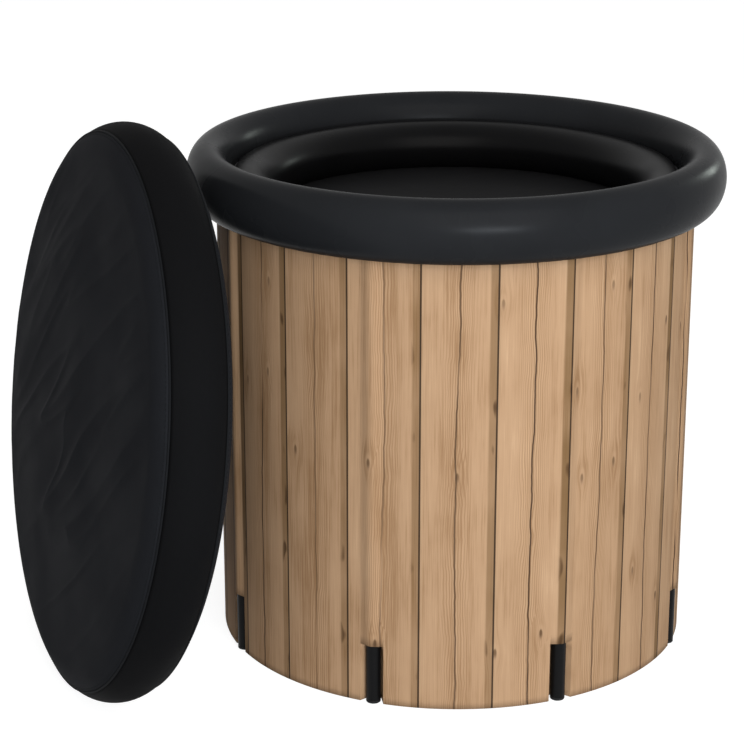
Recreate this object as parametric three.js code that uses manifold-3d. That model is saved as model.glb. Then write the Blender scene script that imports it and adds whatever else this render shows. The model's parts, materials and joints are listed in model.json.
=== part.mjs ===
// A portable cold plunge tub: a soft round wall on eight poles, an inflated ring round the mouth,
// an inflated inner lid seated in it, and a padded lid that stands beside it.
// Millimetres and degrees. The tub's axis is Z, the floor is z = 0 and the front faces -Y.

import * as THREE from 'three';
import { mergeVertices } from 'three/addons/utils/BufferGeometryUtils.js';
import loadManifold from 'manifold-3d';

const manifold = await loadManifold();
manifold.setup();

// Driving dimensions: the whole tub
const bodyDiameter = 700;
const overallHeight = 744;

// Driving dimensions: gaps between pieces
const layerGap = 0.4;
const sleeveGap = 0.6;
const liftGap = 0.5;
const threadGap = 0.4;

// Driving dimensions: the wall and the floor
const skinThickness = 1.5;
const linerThickness = 1.2;
const foamBehindNotch = 4;
const hemLift = 1;
const basePanelThickness = 2;
const floorPadThickness = 12;

// Driving dimensions: the poles, their sleeves and the notches at the foot of the sleeves
const poleCount = 8;
const poleTurn = 24.55;
const poleDiameter = 21;
const poleWall = 2;
const poleProud = 3.5;
const poleEndHeight = 4;
const polePlugDepth = 14;
const poleEndRounding = 1.5;
const ridgeShoulder = 9.5;
const notchWidth = 35;
const notchHeight = 90;
const notchBehindPole = 1;

// Driving dimensions: the inflated ring
const ringWidth = 62;
const ringHeight = 89;
const ringOverhang = 43;
const inflatableWall = 1.5;

// Driving dimensions: the inner lid
const innerTubeDiameter = 80;
const innerTubeFlat = 20;
const innerTubeDrop = 35;
const deckDrop = 104;
const deckThickness = 8;

// Driving dimensions: the inflation valves
const valveBore = 12;
const valveNeckWall = 3;
const valveNeckHeight = 8;
const valveFlangeRim = 6;
const valveFlangeThickness = 1.5;
const valveStemDepth = 5;

// Driving dimensions: the drain
const drainHeight = 50;
const drainBore = 19;
const drainWall = 3;
const drainFlangeRim = 12;
const drainFlangeThickness = 4;
const drainGasketThickness = 3;
const drainWasherThickness = 2;
const drainNutThickness = 8;
const drainNutRim = 9;
const drainNutSides = 6;
const drainThreadLength = 16;

// Driving dimensions: the screw caps
const capWall = 2.5;
const capTop = 2.5;
const capLobes = 12;
const capLobeDepth = 0.8;

// Driving dimensions: the padded lid and how it stands
const lidDiameter = 814;
const lidThickness = 109;
const lidFrontCrown = 6;
const lidBackCrown = 12;
const lidCrownHalfway = 0.75;
const lidCloth = 3;
const lidSeamAngle = 45;
const pipingDiameter = 3;
const lidLean = 8.23;
const lidTurn = 21.34;
const lidStandOff = 46;
const lidAside = -32.5;

// Facets
const arcSteps = 6;
const lidSegments = 36;
const poleSegments = 10;
const fittingSegments = 20;
const ridgeSteps = 8;
const rimSteps = 4;
const ringSteps = 16;
const innerTubeSteps = 10;
const pipingSteps = 4;
const weldDistance = 0.001;

const degree = Math.PI / 180;
const poleStep = 360 / poleCount;
const wallSegments = poleCount * arcSteps;

// The wall's layers, from the outside in
const skinOuter = bodyDiameter / 2;
const skinInner = skinOuter - skinThickness;
const foamOuter = skinInner - layerGap;
const poleRadius = poleDiameter / 2;
const poleCircle = skinOuter + poleProud - poleRadius;
const sleeveRadius = poleRadius + sleeveGap;
const notchBack = poleCircle - poleRadius - notchBehindPole;
const foamNotchBack = notchBack - skinThickness - layerGap;
const foamNotchWidth = notchWidth + 2 * (skinThickness + layerGap);
const foamInner = foamNotchBack - foamBehindNotch;
const linerOuter = foamInner - layerGap;
const linerInner = linerOuter - linerThickness;

// The floor's layers, from the floor up
const padLow = basePanelThickness + layerGap;
const linerLow = padLow + floorPadThickness + layerGap;

// The inflated ring, an oval section
const ringOuter = skinOuter + ringOverhang;
const ringCentre = ringOuter - ringWidth / 2;
const ringMiddle = overallHeight - ringHeight / 2;

// The inner lid, a round tube pressed flat where it lies against the liner
const innerLidOuter = Math.min(linerInner, ringOuter - ringWidth) - liftGap;
const innerTubeRadius = innerTubeDiameter / 2;
const innerTubeCentre = innerLidOuter - innerTubeRadius + innerTubeFlat;
const innerTubeTop = overallHeight - innerTubeDrop;
const innerTubeMiddle = innerTubeTop - innerTubeRadius;
const deckTop = overallHeight - deckDrop;
const deckLow = deckTop - deckThickness;

// Small fittings
const valveBoreRadius = valveBore / 2;
const valveNeckRadius = valveBoreRadius + valveNeckWall;
const valveHoleRadius = valveNeckRadius + layerGap;
const drainBoreRadius = drainBore / 2;
const drainRadius = drainBoreRadius + drainWall;
const drainFlangeRadius = drainRadius + drainFlangeRim;
const drainTurn = poleTurn + poleStep * (Math.floor(poleCount / 2) - 0.5);

// The padded lid, with half-round edges
const lidEdge = lidThickness / 2;
const lidFlat = lidDiameter / 2 - lidEdge;

// Deletes what isn't position, welds shared corners and drops triangles with no area.
function weld(geometry) {
  geometry.deleteAttribute('normal');
  geometry.deleteAttribute('uv');
  const welded = mergeVertices(geometry, weldDistance);
  const corners = welded.index.array;
  const kept = [];
  for (let i = 0; i < corners.length; i += 3) {
    const [a, b, c] = corners.slice(i, i + 3);
    if (a !== b && b !== c && c !== a) {
      kept.push(a, b, c);
    }
  }
  welded.setIndex(kept);
  return welded;
}

// A solid of revolution about Z, from [radius, height] pairs that run up the outside.
function turned(profile, segments, start = poleTurn) {
  const points = profile.map(([radius, height]) => new THREE.Vector2(radius, height));
  const geometry = new THREE.LatheGeometry(points, segments, start * degree);
  return weld(geometry.rotateX(Math.PI / 2));
}

// A closed section turned about Z.
function turnedLoop(profile, segments, start = poleTurn) {
  return turned([...profile, profile[0]], segments, start);
}

// An upright prism of an outline with holes.
function prism(outline, holes, low, high) {
  const shape = new THREE.Shape(outline);
  shape.holes = holes.map((hole) => new THREE.Path(hole));
  const geometry = new THREE.ExtrudeGeometry(shape, { depth: high - low, bevelEnabled: false });
  return weld(geometry.translate(0, 0, low));
}

function toSolid(geometry) {
  return new manifold.Manifold(new manifold.Mesh({
    numProp: 3,
    vertProperties: new Float32Array(geometry.attributes.position.array),
    triVerts: new Uint32Array(geometry.index.array),
  }));
}

function toGeometry(solid) {
  const mesh = solid.getMesh();
  const geometry = new THREE.BufferGeometry();
  geometry.setAttribute('position', new THREE.BufferAttribute(new Float32Array(mesh.vertProperties), 3));
  geometry.setIndex(new THREE.BufferAttribute(new Uint32Array(mesh.triVerts), 1));
  return geometry;
}

function joined(first, second) {
  return toGeometry(toSolid(first).add(toSolid(second)));
}

function cut(geometry, ...tools) {
  let solid = toSolid(geometry);
  for (const tool of tools) {
    solid = solid.subtract(toSolid(tool));
  }
  return toGeometry(solid);
}

// Points of an arc of a section, from one angle to another, in [radius, height] pairs.
function arc(centre, middle, radius, from, to, steps) {
  const points = [];
  for (let i = 0; i <= steps; i += 1) {
    const angle = (from + ((to - from) * i) / steps) * degree;
    points.push([centre + radius * Math.cos(angle), middle + radius * Math.sin(angle)]);
  }
  return points;
}

// An oval section, without its repeated last point.
function oval(centre, middle, width, height, steps) {
  const points = [];
  for (let i = 0; i < steps; i += 1) {
    const angle = (2 * Math.PI * i) / steps;
    points.push([centre + (width / 2) * Math.cos(angle), middle + (height / 2) * Math.sin(angle)]);
  }
  return points;
}

// A point in plan: turned from the front, then aside along the wall and out from the axis.
function inPlan(turn, aside, out) {
  const angle = turn * degree;
  return new THREE.Vector2(
    out * Math.sin(angle) + aside * Math.cos(angle),
    aside * Math.sin(angle) - out * Math.cos(angle),
  );
}

// A round outline with the same bay at every pole. A bay is a list of [aside, out] pairs across the pole.
function roundWithBays(radius, bay) {
  const points = [];
  const bayEdge = bay.length > 0 ? Math.asin(bay[bay.length - 1][0] / radius) / degree : 0;
  for (let k = 0; k < poleCount; k += 1) {
    const turn = poleTurn + k * poleStep;
    const across = bay.length > 0 ? bay : [[0, radius]];
    across.forEach(([aside, out]) => points.push(inPlan(turn, aside, out)));
    for (let j = 1; j < arcSteps; j += 1) {
      const along = (j * poleStep) / arcSteps;
      if (along > bayEdge && along < poleStep - bayEdge) {
        points.push(inPlan(turn + along, 0, radius));
      }
    }
  }
  return points;
}

// A square recess, open outwards.
function recessBay(radius, width, back) {
  const half = width / 2;
  const mouth = Math.sqrt(radius ** 2 - half ** 2);
  return [[-half, mouth], [-half, back], [half, back], [half, mouth]];
}

// A channel with a half-round bottom that the pole lies in, open outwards.
function channelBay(radius) {
  const mouth = Math.sqrt(radius ** 2 - sleeveRadius ** 2);
  const bottom = arc(0, poleCircle, sleeveRadius, 180, 360, poleSegments / 2);
  return [[-sleeveRadius, mouth], ...bottom, [sleeveRadius, mouth]];
}

// A soft ridge that clears the pole.
function ridgeBay(radius) {
  const half = poleRadius + ridgeShoulder;
  const rise = poleCircle + poleRadius + layerGap - skinInner;
  const points = [];
  for (let i = 0; i <= ridgeSteps; i += 1) {
    const aside = half * ((2 * i) / ridgeSteps - 1);
    const out = radius + rise * Math.cos((Math.PI * aside) / (2 * half)) ** 2;
    points.push([aside, Math.sqrt(out ** 2 - aside ** 2)]);
  }
  return points;
}

// The height of the ring's underside over a span of radii, less a gap.
function underRing(inner, outer) {
  const nearest = THREE.MathUtils.clamp(ringCentre, inner, outer);
  const share = (nearest - ringCentre) / (ringWidth / 2 + layerGap);
  const rise = Math.abs(share) < 1 ? Math.sqrt(1 - share ** 2) : 0;
  return ringMiddle - (ringHeight / 2 + layerGap) * rise;
}

// A frame on the wall whose Z points straight out of the tub.
function outwardFrame(turn, radius, height) {
  const frame = new THREE.Group();
  const spot = inPlan(turn, 0, radius);
  frame.position.set(spot.x, spot.y, height);
  frame.rotation.set(Math.PI / 2, 0, turn * degree, 'ZXY');
  frame.updateMatrix();
  return frame;
}

// A round cutter along Z of a frame.
function borer(frame, radius, low, high) {
  const profile = [[0, low], [radius, low], [radius, high], [0, high]];
  return turned(profile, fittingSegments).applyMatrix4(frame.matrix);
}

function piece(name, geometry, finish) {
  const mesh = new THREE.Mesh(geometry, new THREE.MeshStandardMaterial(finish));
  mesh.name = name;
  return mesh;
}

// Finishes
const woodPrint = { color: 0xb99474, roughness: 0.6, metalness: 0 };
const inflatedSheet = { color: 0x26272a, roughness: 0.45, metalness: 0 };
const deckSheet = { color: 0x1d1e20, roughness: 0.55, metalness: 0 };
const lidCanvas = { color: 0x1d1e20, roughness: 0.85, metalness: 0 };
const foam = { color: 0x8c8f92, roughness: 0.9, metalness: 0 };
const linerSheet = { color: 0x202124, roughness: 0.5, metalness: 0 };
const moulding = { color: 0x1a1b1d, roughness: 0.45, metalness: 0 };
const rubber = { color: 0x151515, roughness: 0.75, metalness: 0 };

const drainFrame = outwardFrame(drainTurn, skinOuter, drainHeight);
const ringValveFrame = outwardFrame(drainTurn, ringOuter, ringMiddle);

function drainHole() {
  const inward = foamInner - linerThickness - skinOuter - drainFlangeRim;
  return borer(drainFrame, drainRadius + layerGap, inward, poleProud + drainFlangeRim);
}

function makeOuterSkin() {
  const ridgeTop = poleCircle + poleRadius + layerGap + skinThickness;
  const top = underRing(skinInner, ridgeTop);
  const upper = prism(
    roundWithBays(skinOuter, ridgeBay(skinOuter)),
    [roundWithBays(skinInner, ridgeBay(skinInner))],
    notchHeight,
    top,
  );
  const innerNotchWidth = notchWidth + 2 * skinThickness;
  const lower = prism(
    roundWithBays(skinOuter, recessBay(skinOuter, notchWidth, notchBack)),
    [roundWithBays(skinInner, recessBay(skinInner, innerNotchWidth, notchBack - skinThickness))],
    hemLift,
    notchHeight,
  );
  return piece('outer_skin', cut(joined(upper, lower), drainHole()), woodPrint);
}

function makeInsulationWall() {
  const inside = roundWithBays(foamInner, []);
  const upper = prism(
    roundWithBays(foamOuter, channelBay(foamOuter)),
    [inside],
    notchHeight,
    underRing(foamInner, foamOuter),
  );
  const lower = prism(
    roundWithBays(foamOuter, recessBay(foamOuter, foamNotchWidth, foamNotchBack)),
    [inside],
    padLow,
    notchHeight,
  );
  return piece('insulation_wall', cut(joined(upper, lower), drainHole()), foam);
}

function makeLiner() {
  const top = underRing(linerInner, linerOuter);
  const shell = turned([
    [0, linerLow],
    [linerOuter, linerLow],
    [linerOuter, top],
    [linerInner, top],
    [linerInner, linerLow + linerThickness],
    [0, linerLow + linerThickness],
  ], wallSegments);
  return piece('tub_liner', cut(shell, drainHole()), linerSheet);
}

function makeFloor() {
  const outline = roundWithBays(foamOuter, recessBay(foamOuter, foamNotchWidth, foamNotchBack));
  const pad = prism(roundWithBays(linerOuter, []), [], padLow, padLow + floorPadThickness);
  return [
    piece('base_panel', prism(outline, [], 0, basePanelThickness), moulding),
    piece('floor_pad', pad, foam),
  ];
}

function makeTopRing() {
  const outside = turnedLoop(oval(ringCentre, ringMiddle, ringWidth, ringHeight, ringSteps), wallSegments);
  const hollowWidth = ringWidth - 2 * inflatableWall;
  const hollowHeight = ringHeight - 2 * inflatableWall;
  const hollow = oval(ringCentre, ringMiddle, hollowWidth, hollowHeight, ringSteps / 2);
  const inside = turnedLoop(hollow, wallSegments);
  const hole = borer(ringValveFrame, valveHoleRadius, -ringWidth / 2, ringWidth);
  return piece('top_ring', cut(outside, inside, hole), inflatedSheet);
}

// One pole: a plastic tube with a rounded plug in each end.
function makePole(number) {
  const spot = inPlan(poleTurn + (number - 1) * poleStep, 0, poleCircle);
  const top = underRing(poleCircle - poleRadius, poleCircle + poleRadius);
  const boreRadius = poleRadius - poleWall;
  const tubeLow = poleEndHeight + layerGap;
  const tubeHigh = top - poleEndHeight - layerGap;
  const tube = turnedLoop([
    [boreRadius, tubeLow],
    [poleRadius, tubeLow],
    [poleRadius, tubeHigh],
    [boreRadius, tubeHigh],
  ], poleSegments);
  const plug = turned([
    [0, 0],
    [poleRadius - poleEndRounding, 0],
    [poleRadius, poleEndRounding],
    [poleRadius, poleEndHeight],
    [boreRadius - layerGap, poleEndHeight],
    [boreRadius - layerGap, poleEndHeight + polePlugDepth],
    [0, poleEndHeight + polePlugDepth],
  ], poleSegments);
  const parts = [
    piece(`pole_${number}`, tube, moulding),
    piece(`pole_foot_${number}`, plug, rubber),
    piece(`pole_top_${number}`, plug.clone(), rubber),
  ];
  parts.forEach((part) => part.position.set(spot.x, spot.y, 0));
  parts[2].position.z = top;
  parts[2].rotation.x = Math.PI;
  return parts;
}

// A screw cap with a lobed rim, over a neck that ends at height zero.
function makeScrewCap(name, neckRadius, depth) {
  const inside = neckRadius + threadGap;
  const rim = [];
  const steps = capLobes * 2;
  for (let i = 0; i < steps; i += 1) {
    const radius = inside + capWall - (i % 2 === 0 ? 0 : capLobeDepth);
    rim.push(inPlan((360 * i) / steps, 0, radius));
  }
  const block = prism(rim, [], -depth, threadGap + capTop);
  const below = -2 * depth;
  const hollow = turned([[0, below], [inside, below], [inside, threadGap], [0, threadGap]], fittingSegments);
  return piece(name, cut(block, hollow), moulding);
}

// An inflation valve on a surface at height zero of its frame: a flanged neck and its cap.
function makeValve(prefix) {
  const flangeTop = layerGap + valveFlangeThickness;
  const neckTop = flangeTop + valveNeckHeight;
  const base = turnedLoop([
    [valveBoreRadius, -valveStemDepth],
    [valveNeckRadius, -valveStemDepth],
    [valveNeckRadius, layerGap],
    [valveNeckRadius + valveFlangeRim, layerGap],
    [valveNeckRadius + valveFlangeRim, flangeTop],
    [valveNeckRadius, flangeTop],
    [valveNeckRadius, neckTop],
    [valveBoreRadius, neckTop],
  ], fittingSegments);
  const cap = makeScrewCap(`${prefix}_cap`, valveNeckRadius, valveNeckHeight - layerGap);
  cap.position.z = neckTop;
  return [piece(`${prefix}_base`, base, moulding), cap];
}

// The drain: a flanged spigot through the wall, its gasket inside, its washer and nut outside, and its cap.
function makeDrain() {
  const chord = Math.sqrt(linerInner ** 2 - drainFlangeRadius ** 2);
  const seat = chord * Math.cos(Math.PI / wallSegments) - skinOuter;
  const gasketHigh = seat - layerGap;
  const gasketLow = gasketHigh - drainGasketThickness;
  const flangeHigh = gasketLow - layerGap;
  const washerLow = layerGap;
  const washerHigh = washerLow + drainWasherThickness;
  const nutLow = washerHigh + layerGap;
  const spigotTop = nutLow + drainNutThickness + layerGap + drainThreadLength;
  const flangeLow = flangeHigh - drainFlangeThickness;
  const spigot = turnedLoop([
    [drainBoreRadius, flangeLow],
    [drainFlangeRadius, flangeLow],
    [drainFlangeRadius, flangeHigh],
    [drainRadius, flangeHigh],
    [drainRadius, spigotTop],
    [drainBoreRadius, spigotTop],
  ], fittingSegments);
  const collar = (outer, low, high) => turnedLoop([
    [drainRadius + threadGap, low],
    [outer, low],
    [outer, high],
    [drainRadius + threadGap, high],
  ], fittingSegments);
  const nutOutline = [];
  for (let i = 0; i < drainNutSides; i += 1) {
    nutOutline.push(inPlan((360 * i) / drainNutSides, 0, drainRadius + drainNutRim));
  }
  const nutBlock = prism(nutOutline, [], nutLow, nutLow + drainNutThickness);
  const thread = turned([
    [0, -drainNutThickness],
    [drainRadius + threadGap, -drainNutThickness],
    [drainRadius + threadGap, spigotTop],
    [0, spigotTop],
  ], fittingSegments);
  const cap = makeScrewCap('drain_cap', drainRadius, drainThreadLength - layerGap);
  cap.position.z = spigotTop;
  drainFrame.add(
    piece('drain_spigot', spigot, moulding),
    piece('drain_gasket', collar(drainFlangeRadius, gasketLow, gasketHigh), rubber),
    piece('drain_washer', collar(drainFlangeRadius, washerLow, washerHigh), rubber),
    piece('drain_nut', cut(nutBlock, thread), moulding),
    cap,
  );
  return drainFrame;
}

// The inner lid's tube section: a circle cut off by a straight side where it lies against the liner.
function pressedCircle(inset, steps) {
  const radius = innerTubeRadius - inset;
  const side = innerLidOuter - inset - innerTubeCentre;
  const edge = Math.acos(Math.min(1, side / radius)) / degree;
  return arc(innerTubeCentre, innerTubeMiddle, radius, edge, 360 - edge, steps);
}

function makeInnerLid() {
  const lid = new THREE.Group();
  const valveFrame = new THREE.Group();
  valveFrame.position.set(0, -innerTubeCentre, innerTubeTop);
  valveFrame.updateMatrix();
  const hole = borer(valveFrame, valveHoleRadius, -innerTubeRadius, innerTubeRadius);
  const tube = cut(
    turnedLoop(pressedCircle(0, innerTubeSteps), wallSegments),
    turnedLoop(pressedCircle(inflatableWall, innerTubeSteps / 2), wallSegments),
    hole,
  );
  const nearest = THREE.MathUtils.clamp(innerTubeMiddle, deckLow, deckTop);
  const away = Math.min(innerTubeRadius, Math.abs(nearest - innerTubeMiddle));
  const deckRadius = innerTubeCentre - Math.sqrt(innerTubeRadius ** 2 - away ** 2) - layerGap;
  const deck = prism(roundWithBays(deckRadius, []), [], deckLow, deckTop);
  valveFrame.add(...makeValve('inner_lid_valve'));
  lid.add(
    piece('inner_lid_ring', tube, inflatedSheet),
    piece('inner_lid_deck', deck, deckSheet),
    valveFrame,
  );
  return lid;
}

// The lid's outline from its axis to its seam: a crowned face and a part of the half-round edge.
function lidSide(inset, crown, seam) {
  const edge = lidEdge - inset;
  const rim = arc(lidFlat, 0, edge, 90, seam, rimSteps);
  return [[0, edge + crown], [lidFlat / 2, edge + crown * lidCrownHalfway], ...rim];
}

// A sheet of the lid's cloth between two lines that run the same way.
function sheetBetween(outer, inner) {
  return [...inner, ...outer.slice().reverse()];
}

function flipped(profile) {
  return profile.map(([radius, height]) => [radius, -height]).reverse();
}

function makeLid() {
  const pipingRadius = pipingDiameter / 2;
  const seamGap = (pipingRadius + layerGap) / (lidEdge - lidCloth) / degree;
  const faceEnd = lidSeamAngle + seamGap;
  const bandEnd = lidSeamAngle - seamGap;
  const front = sheetBetween(lidSide(0, lidFrontCrown, faceEnd), lidSide(lidCloth, lidFrontCrown, faceEnd));
  const back = sheetBetween(lidSide(0, lidBackCrown, faceEnd), lidSide(lidCloth, lidBackCrown, faceEnd));
  const bandOut = arc(lidFlat, 0, lidEdge, -bandEnd, bandEnd, 2 * rimSteps);
  const bandIn = arc(lidFlat, 0, lidEdge - lidCloth, bandEnd, -bandEnd, 2 * rimSteps);
  const coreInset = lidCloth + layerGap;
  const coreFront = lidSide(coreInset, lidFrontCrown, 0);
  const coreBack = lidSide(coreInset, lidBackCrown, 0).map(([radius, height]) => [radius, -height]);
  const core = [...coreBack, ...coreFront.slice(0, -1).reverse()];
  const pipingAt = (side) => oval(
    lidFlat + lidEdge * Math.cos(lidSeamAngle * degree),
    side * lidEdge * Math.sin(lidSeamAngle * degree),
    pipingDiameter,
    pipingDiameter,
    pipingSteps,
  );

  // The lid stands on a corner of its facets, leans towards the tub and stops short of the ring.
  const corner = 90;
  const lean = lidLean * degree;
  const ringReach = Math.cos(lean) * ringCentre + Math.sin(lean) * ringMiddle
    + Math.hypot((Math.cos(lean) * ringWidth) / 2, (Math.sin(lean) * ringHeight) / 2);
  const distance = ringReach + lidStandOff + lidEdge;
  const height = lidFlat * Math.cos(lean) + lidEdge;
  const climb = (height - distance * Math.sin(lean)) / Math.cos(lean);
  const turn = new THREE.Group();
  const stand = new THREE.Group();
  turn.rotation.z = lidTurn * degree;
  stand.position.set(climb * Math.sin(lean) - distance * Math.cos(lean), lidAside, height);
  stand.rotation.y = lean - Math.PI / 2;
  stand.add(
    piece('lid_face', turned(front, lidSegments, corner), lidCanvas),
    piece('lid_band', turnedLoop([...bandOut, ...bandIn], lidSegments, corner), lidCanvas),
    piece('lid_back', turned(flipped(back), lidSegments, corner), lidCanvas),
    piece('lid_core', turned(core, lidSegments, corner), foam),
    piece('lid_piping_front', turnedLoop(pipingAt(1), lidSegments, corner), lidCanvas),
    piece('lid_piping_back', turnedLoop(pipingAt(-1), lidSegments, corner), lidCanvas),
  );
  turn.add(stand);
  return turn;
}

const tub = new THREE.Group();
tub.add(makeOuterSkin(), makeInsulationWall(), makeLiner(), ...makeFloor(), makeTopRing());
for (let number = 1; number <= poleCount; number += 1) {
  tub.add(...makePole(number));
}
ringValveFrame.add(...makeValve('ring_valve'));
tub.add(ringValveFrame, makeDrain(), makeInnerLid(), makeLid());

export default tub;
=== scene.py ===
"""Dresses a portable cold plunge tub: printed skin, inflated rings, padded lid, poles, valves and drain.

Metres and radians. The tub's axis is Z, the floor is z = 0 and the front faces -Y. A turn is an angle
about the axis, counted from the front towards +X.
"""

import json
import math

import bmesh
import bpy
from bpy.props import FloatProperty, FloatVectorProperty, IntProperty, PointerProperty
from mathutils import Matrix, Vector, noise


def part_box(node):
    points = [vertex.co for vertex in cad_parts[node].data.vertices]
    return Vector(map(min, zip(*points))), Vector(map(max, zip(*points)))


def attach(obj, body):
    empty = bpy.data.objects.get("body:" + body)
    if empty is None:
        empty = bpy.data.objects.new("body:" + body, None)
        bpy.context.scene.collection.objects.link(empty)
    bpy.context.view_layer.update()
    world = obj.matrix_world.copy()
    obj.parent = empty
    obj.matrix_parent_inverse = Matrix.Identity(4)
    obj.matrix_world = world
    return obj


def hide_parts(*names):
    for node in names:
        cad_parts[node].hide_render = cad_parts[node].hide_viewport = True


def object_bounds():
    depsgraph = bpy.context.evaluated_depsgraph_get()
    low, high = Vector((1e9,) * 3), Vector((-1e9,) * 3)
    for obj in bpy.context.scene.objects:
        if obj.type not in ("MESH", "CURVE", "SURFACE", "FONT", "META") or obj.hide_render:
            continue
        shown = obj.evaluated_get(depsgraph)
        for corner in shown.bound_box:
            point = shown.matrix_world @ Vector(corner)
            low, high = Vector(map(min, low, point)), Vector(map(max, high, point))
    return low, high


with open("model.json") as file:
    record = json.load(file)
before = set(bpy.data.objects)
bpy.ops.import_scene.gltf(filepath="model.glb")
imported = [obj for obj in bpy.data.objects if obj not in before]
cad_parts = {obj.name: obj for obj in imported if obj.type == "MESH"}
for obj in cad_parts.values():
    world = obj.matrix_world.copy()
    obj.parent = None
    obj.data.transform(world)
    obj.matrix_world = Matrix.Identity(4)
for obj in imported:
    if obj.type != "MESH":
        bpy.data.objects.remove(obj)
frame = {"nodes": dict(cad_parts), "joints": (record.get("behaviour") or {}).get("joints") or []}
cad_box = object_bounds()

bl_info = {
    "name": "Cold Plunge Tub",
    "version": (1, 0, 0),
    "blender": (4, 5, 0),
    "location": "View3D > Sidebar > Plunge Tub",
    "description": "Builds the looks of a portable cold plunge tub around its packed frame",
    "category": "Object",
}

PRINT_MAP = "print"
CLOTH_MAP = "cloth"
FULL_TURN = 2 * math.pi

# Angles above which an edge stays hard
CLOTH_CREASE = math.radians(50)
CUT_CREASE = math.radians(40)
MOULDED_CREASE = math.radians(38)
LINER_CREASE = math.radians(35)
NUT_CREASE = math.radians(25)


# What the frame says

def corners_of(node):
    """The corners of a CAD node, in the row frame."""
    return [vertex.co for vertex in frame["nodes"][node].data.vertices]


def reach(node):
    """The largest distance of a CAD node from the tub's axis."""
    return max(corner.xy.length for corner in corners_of(node))


def bore(node):
    """The smallest distance of a CAD node from the tub's axis."""
    return min(corner.xy.length for corner in corners_of(node))


def levels(node):
    """The lowest and the highest level of a CAD node."""
    low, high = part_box(node)
    return low.z, high.z


def middle(node):
    """The mean of a CAD node's corners, which lies on its axis where the node is round."""
    corners = corners_of(node)
    return sum(corners, Vector()) / len(corners)


def extent(node, place):
    """(low, high, inner radius, outer radius) of a CAD node about the Z axis of a placing matrix."""
    inward = place.inverted()
    local = [inward @ corner for corner in corners_of(node)]
    heights = [point.z for point in local]
    radii = [point.xy.length for point in local]
    return min(heights), max(heights), min(radii), max(radii)


def joint_place(name):
    """A matrix at a hinge's point whose Z axis is the hinge's axis."""
    joint = next(each for each in frame["joints"] if each["name"] == name)
    turn = Vector(joint["axis"]).to_track_quat("Z", "Y").to_matrix().to_4x4()
    return Matrix.Translation(joint["pos_m"]) @ turn


def lid_place():
    """A matrix at the padded lid's centre: Z out of its face, X up along it."""
    out = (middle("lid_face") - middle("lid_back")).normalized()
    up = (Vector((0, 0, 1)) - out * out.z).normalized()
    turn = Matrix((up, out.cross(up), out)).transposed().to_4x4()
    return Matrix.Translation(middle("lid_band")) @ turn


def pole_turn(number):
    """The turn of a numbered pole."""
    spot = middle(f"pole_{number}")
    return math.atan2(spot.x, -spot.y)


POLES = [name for name in frame["nodes"] if name.startswith("pole_") and name[5:].isdigit()]
POLE_NUMBERS = sorted(int(name[5:]) for name in POLES)


# Sizes, colours and light that a user would change

def length(name, description, default):
    return FloatProperty(name=name, description=description, default=default, min=0.0, unit="LENGTH")


def angle(name, description, degrees):
    return FloatProperty(name=name, description=description, default=math.radians(degrees), unit="ROTATION")


def power(name, description, default):
    return FloatProperty(name=name, description=description, default=default, min=0.0, unit="POWER")


def linear(red, green, blue):
    """A colour of 0 to 255 screen values as Blender's linear values."""
    shares = [value / 255 for value in (red, green, blue)]
    return tuple(s / 12.92 if s <= 0.04045 else ((s + 0.055) / 1.055) ** 2.4 for s in shares)


def colour(name, description, red, green, blue):
    return FloatVectorProperty(
        name=name, description=description, default=linear(red, green, blue), subtype="COLOR", min=0, max=1
    )


class PlungeTubSizes(bpy.types.PropertyGroup):
    """Sizes that the frame's boxes don't hold."""

    layer_gap: length("Layer gap", "Clearance between neighbouring layers", 0.0004)
    skin_thickness: length("Skin thickness", "Printed cloth of the wall", 0.0015)
    pole_diameter: length("Pole diameter", "Outside of a pole", 0.021)
    pole_wall: length("Pole wall", "Wall of a pole's tube", 0.002)
    pole_end: length("Pole end height", "Height of a pole's plug outside its tube", 0.004)
    pole_end_rounding: length("Pole end rounding", "Rounding of a pole's plug", 0.0016)
    ridge_shoulder: length("Ridge shoulder", "Slope of the skin on each side of a pole", 0.0095)
    notch_width: length("Notch width", "Width of the notch at the foot of a pole", 0.035)
    notch_floor: length("Notch floor", "Width of the notch's cloth behind the pole", 0.015)
    notch_height: length("Notch height", "Height of the notch at the foot of a pole", 0.09)
    notch_behind_pole: length("Notch behind pole", "Room behind a pole in its notch", 0.001)
    planks: IntProperty(name="Planks", description="Printed planks round the wall", default=21, min=1)
    plank_start: angle("Plank start", "Turn of one printed plank joint", 7.8)
    print_joint: angle("Print joint", "Turn where the printed cloth's ends overlap", 137)
    print_overlap: length("Print overlap", "Width of the overlap of the printed cloth", 0.014)
    liner_thickness: length("Liner thickness", "Sheet of the watertight liner", 0.0012)
    deck_sag: length("Deck sag", "How far the inner lid's deck hangs in its middle", 0.003)
    lid_thickness: length("Lid thickness", "Thickness of the padded lid at its edge", 0.109)
    lid_cloth: length("Lid cloth", "Thickness of the padded lid's quilted cloth", 0.003)
    lid_seam: angle("Lid seam", "Where the seam lies on the lid's rounded edge", 45)
    lid_wrinkle: length("Lid wrinkle", "Height of the wrinkles on the lid's face", 0.006)
    piping_diameter: length("Piping diameter", "Cord in the padded lid's seams", 0.003)
    stitch_length: length("Stitch length", "One stitch with its gap", 0.007)
    cap_lobes: IntProperty(name="Cap lobes", description="Grip lobes round a screw cap", default=12, min=3)


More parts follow.
